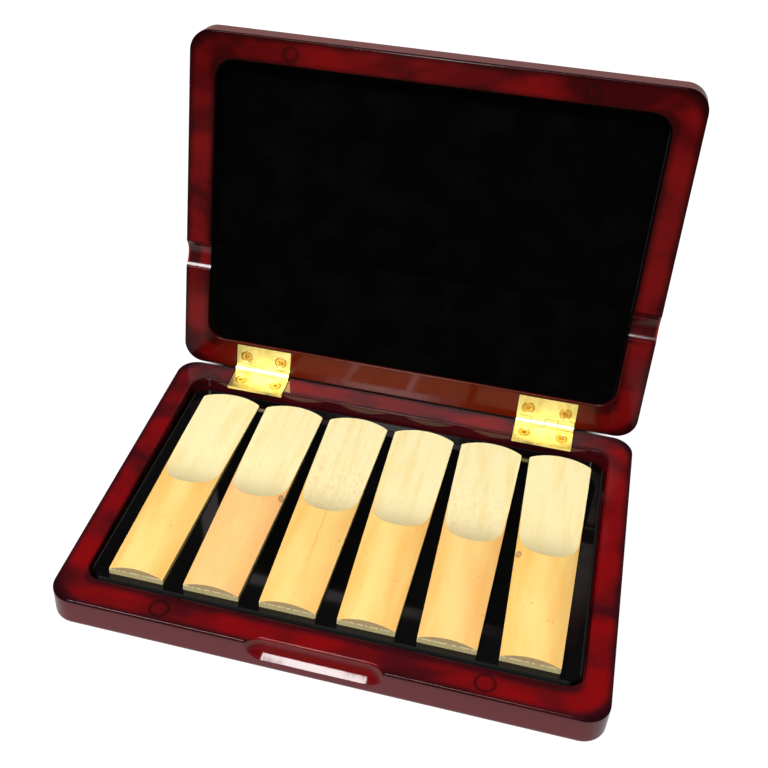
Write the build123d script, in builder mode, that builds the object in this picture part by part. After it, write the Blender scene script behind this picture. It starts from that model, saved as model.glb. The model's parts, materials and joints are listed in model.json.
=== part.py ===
import os
from math import atan, cos, degrees, hypot, radians, sin
from typing import NamedTuple

from build123d import *

# Reed case: a lacquered wooden box with a hinged, stop-held lid, shown open. It stands on its
# underside, front edge towards -Y, hinges towards +Y. The origin is the centre of the underside.
# All sizes are in millimetres.

# Alto saxophone reeds, side by side, flat side down, tips towards the hinges
REED_COUNT = 6
REED_LENGTH = 73.0
REED_HEEL_WIDTH = 13.1
REED_TIP_WIDTH = 15.9
REED_HEEL_THICKNESS = 3.0
REED_TIP_THICKNESS = 0.15
REED_BARK_RADIUS = 14.5
REED_TIP_SAGITTA = 2.6
REED_TIP_CORNER = 1.2
REED_HEEL_CORNER = 0.3
REED_SEAT_GAP = 0.02

# The vamp is cut from the bark: steep at its heel end, then a long thin taper to the tip
VAMP_LENGTH = 41.0
VAMP_STEEP_LENGTH = 8.0
VAMP_SHOULDER_THICKNESS = 1.1

# Spaces around the row of reeds in the tray's pocket
REED_GAP = 2.06
SIDE_MARGIN = 3.75
HEEL_CLEARANCE = 2.9
TIP_CLEARANCE = 1.4

# Base tray
FRONT_RIM = 7.8
BACK_RIM = 6.9
SIDE_RIM = 5.9
FLOOR_AT_BACK = 2.2
CORNER_RADIUS = 5.5
POCKET_RADIUS = 4.5
OUTER_EDGE_RADIUS = 1.6
RIM_EDGE_RADIUS = 0.4
POCKET_EDGE_RADIUS = 0.5

# Glass plate on a felt underlay. It slopes down towards the tips, so that the thick heels stand
# just over the front rim and the tips lie low in the pocket
PLATE_THICKNESS = 2.0
PLATE_CHAMFER = 0.3
UNDERLAY_THICKNESS = 0.6
PLATE_DROP_FRONT = 0.5
PLATE_DROP_BACK = 3.4
PLATE_FRONT_GAP = 1.1
PLATE_SIDE_GAP = 0.65
PLATE_BACK_GAP = 0.5
UNDERLAY_GAP = 0.3

# Finger scoop in the front edge of the base
SCOOP_STRAIGHT = 22.8
SCOOP_SETBACK = 1.9
SCOOP_DROP = 5.0
SCOOP_RADIUS = 5.5

# Lid
LID_FRONT_RIM = 6.6
LID_BACK_RIM = 8.2
LID_SIDE_RIM = 6.9
LID_SKIN = 1.6
LID_POCKET_RADIUS = 5.0
OPEN_ANGLE = 100.0
RIM_GAP = 0.1

# Velvet lining of the lid: a thick pad over the vamps, a thin one over the bark, and a wall band
RECESSED_PAD_THICKNESS = 3.2
RAISED_PAD_DEPTH = 0.5
PAD_CLEARANCE = 0.95
PAD_EDGE_RADIUS = 0.6
PAD_FIT = 0.1
STEP_INTO_VAMP = 14.6
WALL_BAND_THICKNESS = 0.4
WALL_BAND_DEPTH = 0.9
WALL_BAND_FIT = 0.05

# Vent trough across both side rims of the lid
VENT_LENGTH = 7.8
VENT_DEPTH = 2.0
VENT_BEHIND_STEP = 2.7
VENT_SHOULDER_RADIUS = 1.0

# Brass butt hinges: sheet leaves with curled knuckles on one pin each
HINGE_INSET = 23.3
HINGE_WIDTH = 15.4
HINGE_SETBACK = 0.05
BASE_LEAF_LENGTH = 8.3
LID_LEAF_LENGTH = 7.4
LEAF_THICKNESS = 0.8
LEAF_DROP = 0.05
BARREL_RADIUS = 1.35
PIN_RADIUS = 0.5
PIN_CLEARANCE = 0.05
PIN_CHAMFER = 0.15
OUTER_KNUCKLE = 4.2
KNUCKLE_GAP = 0.14
KNUCKLE_CLEARANCE = 0.15
SEAM_ANGLE = 22.0
SEAM_WIDTH = 0.2
SEAM_DEPTH = 0.22
SEAT_CLEARANCE = 0.3
BARREL_SEAT_CLEARANCE = 0.25

# Countersunk screws with a cross recess
SCREW_SPACING = 9.8
BASE_SCREW_FROM_AXIS = 4.7
LID_SCREW_FROM_AXIS = 4.0
SCREW_HEAD_RADIUS = 1.6
SCREW_SHANK_RADIUS = 0.8
SCREW_LENGTH = 5.0
SCREW_POINT = 1.2
SCREW_FIT = 0.05
CROSS_LENGTH = 1.9
CROSS_WIDTH = 0.45
CROSS_DEPTH = 0.4
SCREW_TURN = 35.0

# Magnets in the front rims, each under a filler plug
MAGNET_X = 36.4
MAGNET_FROM_FRONT = 3.6
MAGNET_RADIUS = 2.3
MAGNET_HEIGHT = 2.2
MAGNET_FIT = 0.05
PLUG_HEIGHT = 0.8

# Sizes that follow from the ones above
REED_PITCH = REED_TIP_WIDTH + REED_GAP
POCKET_WIDTH = REED_COUNT * REED_PITCH - REED_GAP + 2 * SIDE_MARGIN
POCKET_LENGTH = HEEL_CLEARANCE + REED_LENGTH + TIP_CLEARANCE
WIDTH = POCKET_WIDTH + 2 * SIDE_RIM
DEPTH = FRONT_RIM + POCKET_LENGTH + BACK_RIM
BASE_HEIGHT = FLOOR_AT_BACK + UNDERLAY_THICKNESS + PLATE_THICKNESS + PLATE_DROP_BACK
POCKET_FRONT_Y = FRONT_RIM - DEPTH / 2
SLOPE = atan((PLATE_DROP_BACK - PLATE_DROP_FRONT) / POCKET_LENGTH)
SEAT_THICKNESS = UNDERLAY_THICKNESS + PLATE_THICKNESS
FLOOR_FRONT_Z = BASE_HEIGHT - PLATE_DROP_FRONT - SEAT_THICKNESS
HEEL_ABOVE_RIM = REED_HEEL_THICKNESS - PLATE_DROP_FRONT
RECESSED_PAD_DEPTH = HEEL_ABOVE_RIM - RIM_GAP + PAD_CLEARANCE
LID_POCKET_DEPTH = RECESSED_PAD_DEPTH + RECESSED_PAD_THICKNESS
LID_HEIGHT = LID_SKIN + LID_POCKET_DEPTH
LID_POCKET_WIDTH = WIDTH - 2 * LID_SIDE_RIM
LID_POCKET_LENGTH = DEPTH - LID_FRONT_RIM - LID_BACK_RIM
HINGE_X = WIDTH / 2 - HINGE_INSET
HINGE_Y = DEPTH / 2 + HINGE_SETBACK
HINGE_Z = BASE_HEIGHT + RIM_GAP / 2
RIM_DROP = RIM_GAP / 2
KNUCKLE_ENDS = [0.0, OUTER_KNUCKLE, HINGE_WIDTH / 2, HINGE_WIDTH - OUTER_KNUCKLE, HINGE_WIDTH]
STEP_FROM_AXIS = HINGE_SETBACK + BACK_RIM + TIP_CLEARANCE + VAMP_LENGTH - STEP_INTO_VAMP
SIDES = {"left": -1, "right": 1}


class Half(NamedTuple):
    """One half of the case, seen from the hinge axis.

    The plane's origin is on the hinge axis, its y runs along the half away from the hinge and its
    z points towards the other half. Knuckles are counted from the middle of the case outwards, and
    the seam is the angle of the knuckles' curl, from the plane's y towards its z.
    """

    name: str
    plane: Plane
    leaf_length: float
    screw_from_axis: float
    knuckles: tuple[int, int]
    seam: float


OPEN_TURN = radians(OPEN_ANGLE)
AXIS_POINT = (0, HINGE_Y, HINGE_Z)
BASE = Half(
    name="base",
    plane=Plane(origin=AXIS_POINT, x_dir=(-1, 0, 0), z_dir=(0, 0, 1)),
    leaf_length=BASE_LEAF_LENGTH,
    screw_from_axis=BASE_SCREW_FROM_AXIS,
    knuckles=(0, 2),
    seam=SEAM_ANGLE,
)
LID = Half(
    name="lid",
    plane=Plane(origin=AXIS_POINT, x_dir=(1, 0, 0), z_dir=(0, -sin(OPEN_TURN), -cos(OPEN_TURN))),
    leaf_length=LID_LEAF_LENGTH,
    screw_from_axis=LID_SCREW_FROM_AXIS,
    knuckles=(1, 3),
    seam=OPEN_ANGLE - SEAM_ANGLE,
)

# Frame of the sloping floor: origin at the front of the pocket, y up the row towards the tips
FLOOR = Plane(
    origin=(0, POCKET_FRONT_Y, FLOOR_FRONT_Z), x_dir=(1, 0, 0), z_dir=(0, sin(SLOPE), cos(SLOPE))
)


def shifted(plane: Plane, x: float = 0, y: float = 0, z: float = 0) -> Plane:
    """The same plane with its origin moved in its own directions."""
    origin = plane.origin + plane.x_dir * x + plane.y_dir * y + plane.z_dir * z
    return Plane(origin=origin, x_dir=plane.x_dir, z_dir=plane.z_dir)


def lengthwise(plane: Plane, x: float = 0) -> Plane:
    """A plane across the given one's x direction: it draws y and z, and extrudes along x."""
    return Plane(origin=plane.origin + plane.x_dir * x, x_dir=plane.y_dir, z_dir=plane.x_dir)


def crosswise(plane: Plane) -> Plane:
    """A plane across the given one's y direction: it draws x and z, and extrudes along -y."""
    return Plane(origin=plane.origin, x_dir=plane.x_dir, z_dir=-plane.y_dir)


def own_x(plane: Plane, side: int, x: float) -> float:
    """A distance x out from the middle, on the left or right, as the plane's own x."""
    return side * x * plane.x_dir.X


def save(part: Part, label: str) -> None:
    """Labels a finished piece and writes it."""
    part.label = label
    export_step(part, f"parts/{label}.step")


def screw_planes(half: Half, side: int) -> list[Plane]:
    """The planes of the leaf's face at its inner and outer screw."""
    return [
        shifted(half.plane, x=own_x(half.plane, side, x), y=half.screw_from_axis, z=-LEAF_DROP)
        for x in (HINGE_X - SCREW_SPACING / 2, HINGE_X + SCREW_SPACING / 2)
    ]


def magnet_plane(half: Half, side: int) -> Plane:
    """The plane of the rim's face over a magnet."""
    y = HINGE_SETBACK + DEPTH - MAGNET_FROM_FRONT
    return shifted(half.plane, x=own_x(half.plane, side, MAGNET_X), y=y, z=-RIM_DROP)


def hinge_seats(half: Half) -> Part:
    """Tool that cuts the seats of both hinges and their pilot holes in one half."""
    seat_width = HINGE_WIDTH + 2 * SEAT_CLEARANCE
    seat_depth = LEAF_DROP + LEAF_THICKNESS
    with BuildPart() as seats:
        for side in SIDES.values():
            x = own_x(half.plane, side, HINGE_X)
            with BuildSketch(shifted(half.plane, x=x, z=-seat_depth)):
                with Locations((0, half.leaf_length / 2)):
                    Rectangle(seat_width, half.leaf_length + 2 * SEAT_CLEARANCE)
            extrude(amount=seat_depth)
            with BuildSketch(lengthwise(half.plane, x - seat_width / 2)):
                Circle(BARREL_RADIUS + BARREL_SEAT_CLEARANCE)
            extrude(amount=seat_width)
            for face in screw_planes(half, side):
                with BuildSketch(face):
                    Circle(SCREW_SHANK_RADIUS + SCREW_FIT)
                extrude(amount=-SCREW_LENGTH - SCREW_FIT)
    return seats.part


def magnet_bores(half: Half) -> Part:
    """Tool that cuts a blind bore for each magnet and plug in a front rim."""
    with BuildPart() as bores:
        for side in SIDES.values():
            with BuildSketch(magnet_plane(half, side)):
                Circle(MAGNET_RADIUS + MAGNET_FIT)
            extrude(amount=-PLUG_HEIGHT - MAGNET_HEIGHT - MAGNET_FIT)
    return bores.part


def tray_pocket() -> Part:
    """Tool that cuts the tray's pocket, with its sloping floor."""
    with BuildPart() as pocket:
        with BuildSketch():
            with Locations((0, POCKET_FRONT_Y + POCKET_LENGTH / 2)):
                RectangleRounded(POCKET_WIDTH, POCKET_LENGTH, POCKET_RADIUS)
        extrude(amount=BASE_HEIGHT)
        split(bisect_by=FLOOR, keep=Keep.TOP)
    return pocket.part


def finger_scoop() -> Part:
    """Tool that cuts the finger scoop: a straight cove with round ends."""
    chord = hypot(SCOOP_SETBACK, SCOOP_DROP)
    reach = (SCOOP_RADIUS**2 - (chord / 2) ** 2) ** 0.5
    y = -DEPTH / 2 + SCOOP_SETBACK / 2 - reach * SCOOP_DROP / chord
    z = BASE_HEIGHT - SCOOP_DROP / 2 + reach * SCOOP_SETBACK / chord
    with BuildPart() as scoop:
        with Locations((0, y, z)):
            Cylinder(SCOOP_RADIUS, SCOOP_STRAIGHT, rotation=(0, 90, 0))
        with Locations((-SCOOP_STRAIGHT / 2, y, z), (SCOOP_STRAIGHT / 2, y, z)):
            Sphere(SCOOP_RADIUS)
    return scoop.part


def make_base_tray() -> None:
    """Wooden tray with a pocket whose floor slopes down to the back."""
    with BuildPart() as base_tray:
        with BuildSketch():
            RectangleRounded(WIDTH, DEPTH, CORNER_RADIUS)
        extrude(amount=BASE_HEIGHT)
        fillet(base_tray.faces().sort_by(Axis.Z)[0].edges(), OUTER_EDGE_RADIUS)
        add(finger_scoop(), mode=Mode.SUBTRACT)
        front = base_tray.faces().filter_by(Axis.Y).sort_by(Axis.Y)[0]
        scoop_ends = front.edges().filter_by(GeomType.CIRCLE)
        scoop_foot = front.edges().filter_by(Axis.X).sort_by(Edge.length)[0]
        rim = base_tray.faces().filter_by(Axis.Z).sort_by(Axis.Z)[-1]
        fillet(rim.edges() + scoop_ends + [scoop_foot], RIM_EDGE_RADIUS)
        add(tray_pocket(), mode=Mode.SUBTRACT)
        rim = base_tray.faces().filter_by(Axis.Z).sort_by(Axis.Z)[-1]
        fillet(rim.inner_wires()[0].edges(), POCKET_EDGE_RADIUS)
        add(hinge_seats(BASE), mode=Mode.SUBTRACT)
        add(magnet_bores(BASE), mode=Mode.SUBTRACT)
    save(base_tray.part, "base_tray")


def make_plate() -> None:
    """Felt underlay on the sloping floor, and the glass plate on it."""
    with BuildPart() as plate_underlay:
        with BuildSketch(FLOOR):
            with Locations((0, POCKET_LENGTH / 2)):
                width = POCKET_WIDTH - 2 * UNDERLAY_GAP
                length = POCKET_LENGTH - 2 * UNDERLAY_GAP
                RectangleRounded(width, length, POCKET_RADIUS - UNDERLAY_GAP)
        extrude(amount=UNDERLAY_THICKNESS)
    save(plate_underlay.part, "plate_underlay")
    with BuildPart() as glass_plate:
        with BuildSketch(FLOOR.offset(UNDERLAY_THICKNESS)):
            with Locations((0, (POCKET_LENGTH + PLATE_FRONT_GAP - PLATE_BACK_GAP) / 2)):
                width = POCKET_WIDTH - 2 * PLATE_SIDE_GAP
                length = POCKET_LENGTH - PLATE_FRONT_GAP - PLATE_BACK_GAP
                RectangleRounded(width, length, POCKET_RADIUS - PLATE_SIDE_GAP)
        extrude(amount=PLATE_THICKNESS)
        chamfer(glass_plate.faces().sort_by(Axis.Z)[-1].edges(), PLATE_CHAMFER)
    save(glass_plate.part, "glass_plate")


def make_reed(plane: Plane, label: str) -> None:
    """One cane reed: its plane's origin is the middle of the heel, on the flat side."""
    half_heel, half_tip = REED_HEEL_WIDTH / 2, REED_TIP_WIDTH / 2
    shoulder = REED_LENGTH - REED_TIP_SAGITTA
    with BuildPart() as reed:
        with BuildSketch(plane) as outline:
            with BuildLine():
                Polyline((-half_tip, shoulder), (-half_heel, 0), (half_heel, 0), (half_tip, shoulder))
                ThreePointArc((half_tip, shoulder), (0, REED_LENGTH), (-half_tip, shoulder))
            make_face()
            fillet(outline.vertices().group_by(Axis.Y)[-1], REED_TIP_CORNER)
            fillet(outline.vertices().group_by(Axis.Y)[0], REED_HEEL_CORNER)
        extrude(amount=REED_HEEL_THICKNESS)
        with BuildSketch(crosswise(plane)):
            with Locations((0, REED_HEEL_THICKNESS - REED_BARK_RADIUS)):
                Circle(REED_BARK_RADIUS)
        extrude(amount=-REED_LENGTH, mode=Mode.INTERSECT)
        with BuildSketch(lengthwise(plane)):
            with BuildLine():
                tip = (REED_LENGTH + REED_GAP, REED_TIP_THICKNESS)
                knee = (REED_LENGTH - VAMP_LENGTH + VAMP_STEEP_LENGTH, VAMP_SHOULDER_THICKNESS)
                start = (REED_LENGTH - VAMP_LENGTH, REED_HEEL_THICKNESS)
                taper = Line(tip, knee)
                steep = TangentArc(knee, start, tangent=taper % 1)
                above = steep @ 1 + (steep % 1) * REED_HEEL_THICKNESS
                Polyline(start, above, (tip[0], above.Y), tip)
            make_face()
        extrude(amount=REED_TIP_WIDTH, both=True, mode=Mode.SUBTRACT)
    save(reed.part, label)


def make_reeds() -> None:
    """The row of reeds on the plate, numbered from the left."""
    for number in range(1, REED_COUNT + 1):
        x = (number - (REED_COUNT + 1) / 2) * REED_PITCH
        seat = shifted(FLOOR, x=x, y=HEEL_CLEARANCE, z=SEAT_THICKNESS + REED_SEAT_GAP)
        make_reed(seat, f"reed_{number}")


def lid_vents() -> Part:
    """Tool that cuts the vent trough, with rounded shoulders, across both side rims of the lid."""
    centre = STEP_FROM_AXIS - VENT_BEHIND_STEP
    left, right = centre - VENT_LENGTH / 2, centre + VENT_LENGTH / 2
    flank = 2 * VENT_SHOULDER_RADIUS
    with BuildPart() as vents:
        with BuildSketch(lengthwise(LID.plane, -WIDTH / 2)) as profile:
            with BuildLine():
                bottom = (centre, -RIM_DROP - VENT_DEPTH)
                ThreePointArc((left, -RIM_DROP), bottom, (right, -RIM_DROP))
                Polyline(
                    (right, -RIM_DROP),
                    (right + flank, -RIM_DROP),
                    (right + flank, VENT_DEPTH),
                    (left - flank, VENT_DEPTH),
                    (left - flank, -RIM_DROP),
                    (left, -RIM_DROP),
                )
            make_face()
            shoulders = profile.vertices().group_by(Axis.Y)[0].sort_by(Axis.X)[1:3]
            fillet(shoulders, VENT_SHOULDER_RADIUS)
        extrude(amount=WIDTH)
    return vents.part


def make_lid_shell() -> None:
    """Wooden lid with a flat pocket and a vent trough across each side rim."""
    middle = HINGE_SETBACK + DEPTH / 2
    pocket_middle = HINGE_SETBACK + LID_BACK_RIM + LID_POCKET_LENGTH / 2
    outward = Axis(LID.plane.origin, -LID.plane.z_dir)
    with BuildPart() as lid_shell:
        with BuildSketch(shifted(LID.plane, y=middle, z=-RIM_DROP)):
            RectangleRounded(WIDTH, DEPTH, CORNER_RADIUS)
        extrude(amount=-LID_HEIGHT)
        fillet(lid_shell.faces().sort_by(outward)[-1].edges(), OUTER_EDGE_RADIUS)
        with BuildSketch(shifted(LID.plane, y=pocket_middle, z=-RIM_DROP)):
            RectangleRounded(LID_POCKET_WIDTH, LID_POCKET_LENGTH, LID_POCKET_RADIUS)
        extrude(amount=-LID_POCKET_DEPTH, mode=Mode.SUBTRACT)
        rim = lid_shell.faces().sort_by(outward)[0]
        fillet(rim.outer_wire().edges(), RIM_EDGE_RADIUS)
        rim = lid_shell.faces().sort_by(outward)[0]
        fillet(rim.inner_wires()[0].edges(), POCKET_EDGE_RADIUS)
        add(lid_vents(), mode=Mode.SUBTRACT)
        add(hinge_seats(LID), mode=Mode.SUBTRACT)
        add(magnet_bores(LID), mode=Mode.SUBTRACT)
    save(lid_shell.part, "lid_shell")


def make_lining() -> None:
    """Velvet lining of the lid: two pads on its floor, and a band around its wall."""
    floor = shifted(LID.plane, z=-RIM_DROP - LID_POCKET_DEPTH)
    outward = Axis(LID.plane.origin, LID.plane.z_dir)
    pocket_start = HINGE_SETBACK + LID_BACK_RIM
    pocket_end = pocket_start + LID_POCKET_LENGTH
    middle = (pocket_start + pocket_end) / 2
    with BuildPart() as lid_wall_band:
        with BuildSketch(shifted(floor, y=middle)):
            inset = WALL_BAND_FIT
            RectangleRounded(
                LID_POCKET_WIDTH - 2 * inset, LID_POCKET_LENGTH - 2 * inset, LID_POCKET_RADIUS - inset
            )
            inset = WALL_BAND_FIT + WALL_BAND_THICKNESS
            RectangleRounded(
                LID_POCKET_WIDTH - 2 * inset,
                LID_POCKET_LENGTH - 2 * inset,
                LID_POCKET_RADIUS - inset,
                mode=Mode.SUBTRACT,
            )
        extrude(amount=LID_POCKET_DEPTH - WALL_BAND_DEPTH)
    save(lid_wall_band.part, "lid_wall_band")
    inset = WALL_BAND_FIT + WALL_BAND_THICKNESS + PAD_FIT
    pads = {
        "lid_pad_raised": (pocket_start, STEP_FROM_AXIS, LID_POCKET_DEPTH - RAISED_PAD_DEPTH),
        "lid_pad_recessed": (STEP_FROM_AXIS + PAD_FIT, pocket_end, RECESSED_PAD_THICKNESS),
    }
    for label, (start, end, thickness) in pads.items():
        with BuildPart() as pad:
            with BuildSketch(floor):
                with Locations((0, middle)):
                    RectangleRounded(
                        LID_POCKET_WIDTH - 2 * inset,
                        LID_POCKET_LENGTH - 2 * inset,
                        LID_POCKET_RADIUS - inset,
                    )
                with Locations((0, (start + end) / 2)):
                    Rectangle(LID_POCKET_WIDTH, end - start, mode=Mode.INTERSECT)
            extrude(amount=thickness)
            fillet(pad.faces().sort_by(outward)[-1].edges(), PAD_EDGE_RADIUS)
        save(pad.part, label)


def make_leaf(half: Half, side: int, label: str) -> None:
    """Brass leaf with its own knuckles, bored for the pin and countersunk for its screws."""
    x = own_x(half.plane, side, HINGE_X)
    outwards = own_x(half.plane, side, 1)
    across = lengthwise(half.plane, x - HINGE_WIDTH / 2)
    with BuildPart() as leaf:
        with BuildSketch(shifted(half.plane, x=x, z=-LEAF_DROP)):
            with Locations((0, half.leaf_length / 2)):
                Rectangle(HINGE_WIDTH, half.leaf_length)
        extrude(amount=-LEAF_THICKNESS)
        for number, (inner, outer) in enumerate(zip(KNUCKLE_ENDS, KNUCKLE_ENDS[1:])):
            middle = x + outwards * (inner + outer - HINGE_WIDTH) / 2
            own = number in half.knuckles
            length = outer - inner - KNUCKLE_GAP if own else outer - inner + KNUCKLE_GAP
            with BuildSketch(lengthwise(half.plane, middle - length / 2)):
                Circle(BARREL_RADIUS if own else BARREL_RADIUS + KNUCKLE_CLEARANCE)
            extrude(amount=length, mode=Mode.ADD if own else Mode.SUBTRACT)
        with BuildSketch(across):
            Circle(PIN_RADIUS + PIN_CLEARANCE)
            with PolarLocations(BARREL_RADIUS, 1, start_angle=half.seam):
                Rectangle(2 * SEAM_DEPTH, SEAM_WIDTH)
        extrude(amount=HINGE_WIDTH, mode=Mode.SUBTRACT)
        sink = SCREW_HEAD_RADIUS + SCREW_FIT
        with Locations(*screw_planes(half, side)):
            Cone(
                sink - LEAF_THICKNESS,
                sink,
                LEAF_THICKNESS,
                align=(Align.CENTER, Align.CENTER, Align.MAX),
                mode=Mode.SUBTRACT,
            )
    save(leaf.part, label)


def make_screws(half: Half, side: int, label: str) -> None:
    """The two countersunk screws of one leaf, stopped at different turns."""
    neck = SCREW_HEAD_RADIUS - SCREW_SHANK_RADIUS
    with BuildPart() as screws:
        for number, face in enumerate(screw_planes(half, side)):
            with BuildSketch(crosswise(face)):
                with BuildLine():
                    Polyline(
                        (0, 0),
                        (SCREW_HEAD_RADIUS, 0),
                        (SCREW_SHANK_RADIUS, -neck),
                        (SCREW_SHANK_RADIUS, SCREW_POINT - SCREW_LENGTH),
                        (0, -SCREW_LENGTH),
                        close=True,
                    )
                make_face()
            revolve(axis=Axis(face.origin, face.z_dir))
            with BuildSketch(face):
                bearing = SCREW_TURN * (number + 1) * side
                Rectangle(CROSS_LENGTH, CROSS_WIDTH, rotation=bearing)
                Rectangle(CROSS_WIDTH, CROSS_LENGTH, rotation=bearing)
            extrude(amount=-CROSS_DEPTH, mode=Mode.SUBTRACT)
    save(screws.part, label)


def make_pin(side: int, label: str) -> None:
    """Hinge pin through all knuckles, chamfered at both ends."""
    with BuildPart() as pin:
        with BuildSketch(lengthwise(LID.plane, side * HINGE_X - HINGE_WIDTH / 2)):
            Circle(PIN_RADIUS)
        extrude(amount=HINGE_WIDTH)
        chamfer(pin.edges().filter_by(GeomType.CIRCLE), PIN_CHAMFER)
    save(pin.part, label)


def make_disc(face: Plane, height: float, label: str) -> None:
    """A magnet or a plug: a plain disc below the given plane."""
    with BuildPart() as disc:
        with BuildSketch(face):
            Circle(MAGNET_RADIUS)
        extrude(amount=-height)
    save(disc.part, label)


def make_fittings() -> None:
    """Hinges, magnets and plugs on both sides of both halves."""
    for name, side in SIDES.items():
        make_pin(side, f"hinge_{name}_pin")
        for half in (BASE, LID):
            make_leaf(half, side, f"hinge_{name}_{half.name}_leaf")
            make_screws(half, side, f"hinge_{name}_{half.name}_screws")
            rim = magnet_plane(half, side)
            make_disc(rim, PLUG_HEIGHT, f"{half.name}_magnet_plug_{name}")
            make_disc(rim.offset(-PLUG_HEIGHT), MAGNET_HEIGHT, f"{half.name}_magnet_{name}")


def main() -> None:
    """Makes and writes every piece."""
    os.makedirs("parts", exist_ok=True)
    make_base_tray()
    make_plate()
    make_reeds()
    make_lid_shell()
    make_lining()
    make_fittings()
    print("width", round(WIDTH, 2), "depth", round(DEPTH, 2), "base height", round(BASE_HEIGHT, 2))
    print("lid height", round(LID_HEIGHT, 2), "plate slope", round(degrees(SLOPE), 2))


if __name__ == "__main__":
    main()
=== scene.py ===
"""Looks of a lacquered wooden reed case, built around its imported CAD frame.

The case lies open on a pale studio floor: a red lacquered tray and lid on two brass hinges, a dark
glass plate with six cane saxophone reeds, and a black velvet lining in the lid.
"""

import json
import logging
import math
from abc import ABC, abstractmethod
from collections.abc import Callable
from dataclasses import dataclass, field, replace
from enum import Enum
from typing import Any

import bmesh
import bpy
from mathutils import Euler, Matrix, Vector, noise

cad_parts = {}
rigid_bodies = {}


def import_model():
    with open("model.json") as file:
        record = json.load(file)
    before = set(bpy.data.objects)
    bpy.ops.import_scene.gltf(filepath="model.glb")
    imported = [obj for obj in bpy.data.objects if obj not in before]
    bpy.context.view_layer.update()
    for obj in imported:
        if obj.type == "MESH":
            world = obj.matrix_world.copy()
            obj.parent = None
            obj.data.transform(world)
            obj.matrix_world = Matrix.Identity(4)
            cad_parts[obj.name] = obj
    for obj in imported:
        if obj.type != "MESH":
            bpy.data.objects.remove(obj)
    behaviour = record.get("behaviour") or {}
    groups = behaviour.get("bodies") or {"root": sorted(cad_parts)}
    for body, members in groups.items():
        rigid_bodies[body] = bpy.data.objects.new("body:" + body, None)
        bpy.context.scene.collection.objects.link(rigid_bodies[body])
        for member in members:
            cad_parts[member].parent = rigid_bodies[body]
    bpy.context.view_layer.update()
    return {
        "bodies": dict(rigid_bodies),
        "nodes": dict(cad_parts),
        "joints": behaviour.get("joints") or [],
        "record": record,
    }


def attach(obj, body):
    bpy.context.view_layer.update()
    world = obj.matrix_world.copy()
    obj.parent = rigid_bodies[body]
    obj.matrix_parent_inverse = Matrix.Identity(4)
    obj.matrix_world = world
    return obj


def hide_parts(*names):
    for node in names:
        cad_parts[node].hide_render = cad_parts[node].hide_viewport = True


log = logging.getLogger("reed_case")

# MM turns millimetres to Blender's metres, and places nearer than NEAR metres are one place.
# LID_ANGLE is how far the lid stands open, and TRAY_ANGLE is the flat tray's own angle on the same
# scale, both in degrees. HINGE_AXIS is the axis's y and z and RIM_HEIGHT the top of the tray's rim,
# in millimetres. FLOOR_SLOPE is how steeply the tray's floor falls to the back, in radians.
MM = 0.001
NEAR = 1e-6
LID_ANGLE = 100
TRAY_ANGLE = 180
HINGE_AXIS = (46.05, 8.25)
RIM_HEIGHT = 8.2
FLOOR_SLOPE = math.radians(2.1485)

Triple = tuple[float, float, float]
Span = tuple[float, float]
Links = dict[str | int, Any] | list[Any] | tuple[Any, ...]
Tree = bpy.types.NodeTree
Node = bpy.types.Node
Socket = bpy.types.NodeSocket
Material = bpy.types.Material
Piece = bpy.types.Object

# Node settings that many patterns share: a range that eases in and out, and a mix of two colours.
SMOOTH = {"interpolation_type": "SMOOTHSTEP"}
COLOUR = {"data_type": "RGBA"}


class Body(str, Enum):
    """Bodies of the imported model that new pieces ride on."""

    BASE = "base"
    LID = "lid"


class Slot(str, Enum):
    """Material slots of the record that new pieces take their finish from."""

    VELVET = "black_velvet"
    FELT = "black_felt"
    BRASS = "brass"


def srgb(code: str) -> tuple[float, float, float, float]:
    """Turns an sRGB hex colour to linear RGBA.

    Args:
        code: six hex digits after a #.

    Returns:
        The linear colour with alpha 1.
    """
    digits = code.lstrip("#")
    parts = [int(digits[i : i + 2], 16) / 255 for i in (0, 2, 4)]
    linear = [c / 12.92 if c <= 0.04045 else ((c + 0.055) / 1.055) ** 2.4 for c in parts]
    return (*linear, 1.0)


def wire(tree: Tree, node: Node, links: Links) -> None:
    """Gives a node's inputs their values and links.

    Args:
        tree: the node tree.
        node: the node.
        links: its inputs, in order or by name or number: each a value, a hex colour or an output.
    """
    for key, value in links.items() if isinstance(links, dict) else enumerate(links):
        socket = node.inputs[key]
        if isinstance(value, Socket):
            tree.links.new(value, socket)
        else:
            socket.default_value = srgb(value) if isinstance(value, str) else value


def add(tree: Tree, kind: str, links: Links = (), out: int | str | None = 0, **settings: Any) -> Any:
    """Adds one shader node with its settings and links.

    Args:
        tree: the node tree to add to.
        kind: the node's type name without "ShaderNode", such as "Math".
        links: its inputs, as wire() takes them.
        out: the output to hand back, or None for the node itself.
        **settings: properties of the node.

    Returns:
        The output socket, or the node.
    """
    node = tree.nodes.new("ShaderNode" + kind)
    for key, value in settings.items():
        setattr(node, key, value)
    wire(tree, node, links)
    return node if out is None else node.outputs[out]


@dataclass(frozen=True)
class Grain:
    """An irregular pattern in a surface.

    A patch is as wide, long and high as size says, in millimetres. The pattern fades in between the
    two noise values of span, from least to most, softly where it is eased.
    """

    size: Triple
    span: Span
    most: float = 1.0
    least: float = 0.0
    detail: float = 2.0
    roughness: float = 0.5
    distortion: float = 0.0
    eased: bool = True


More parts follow.
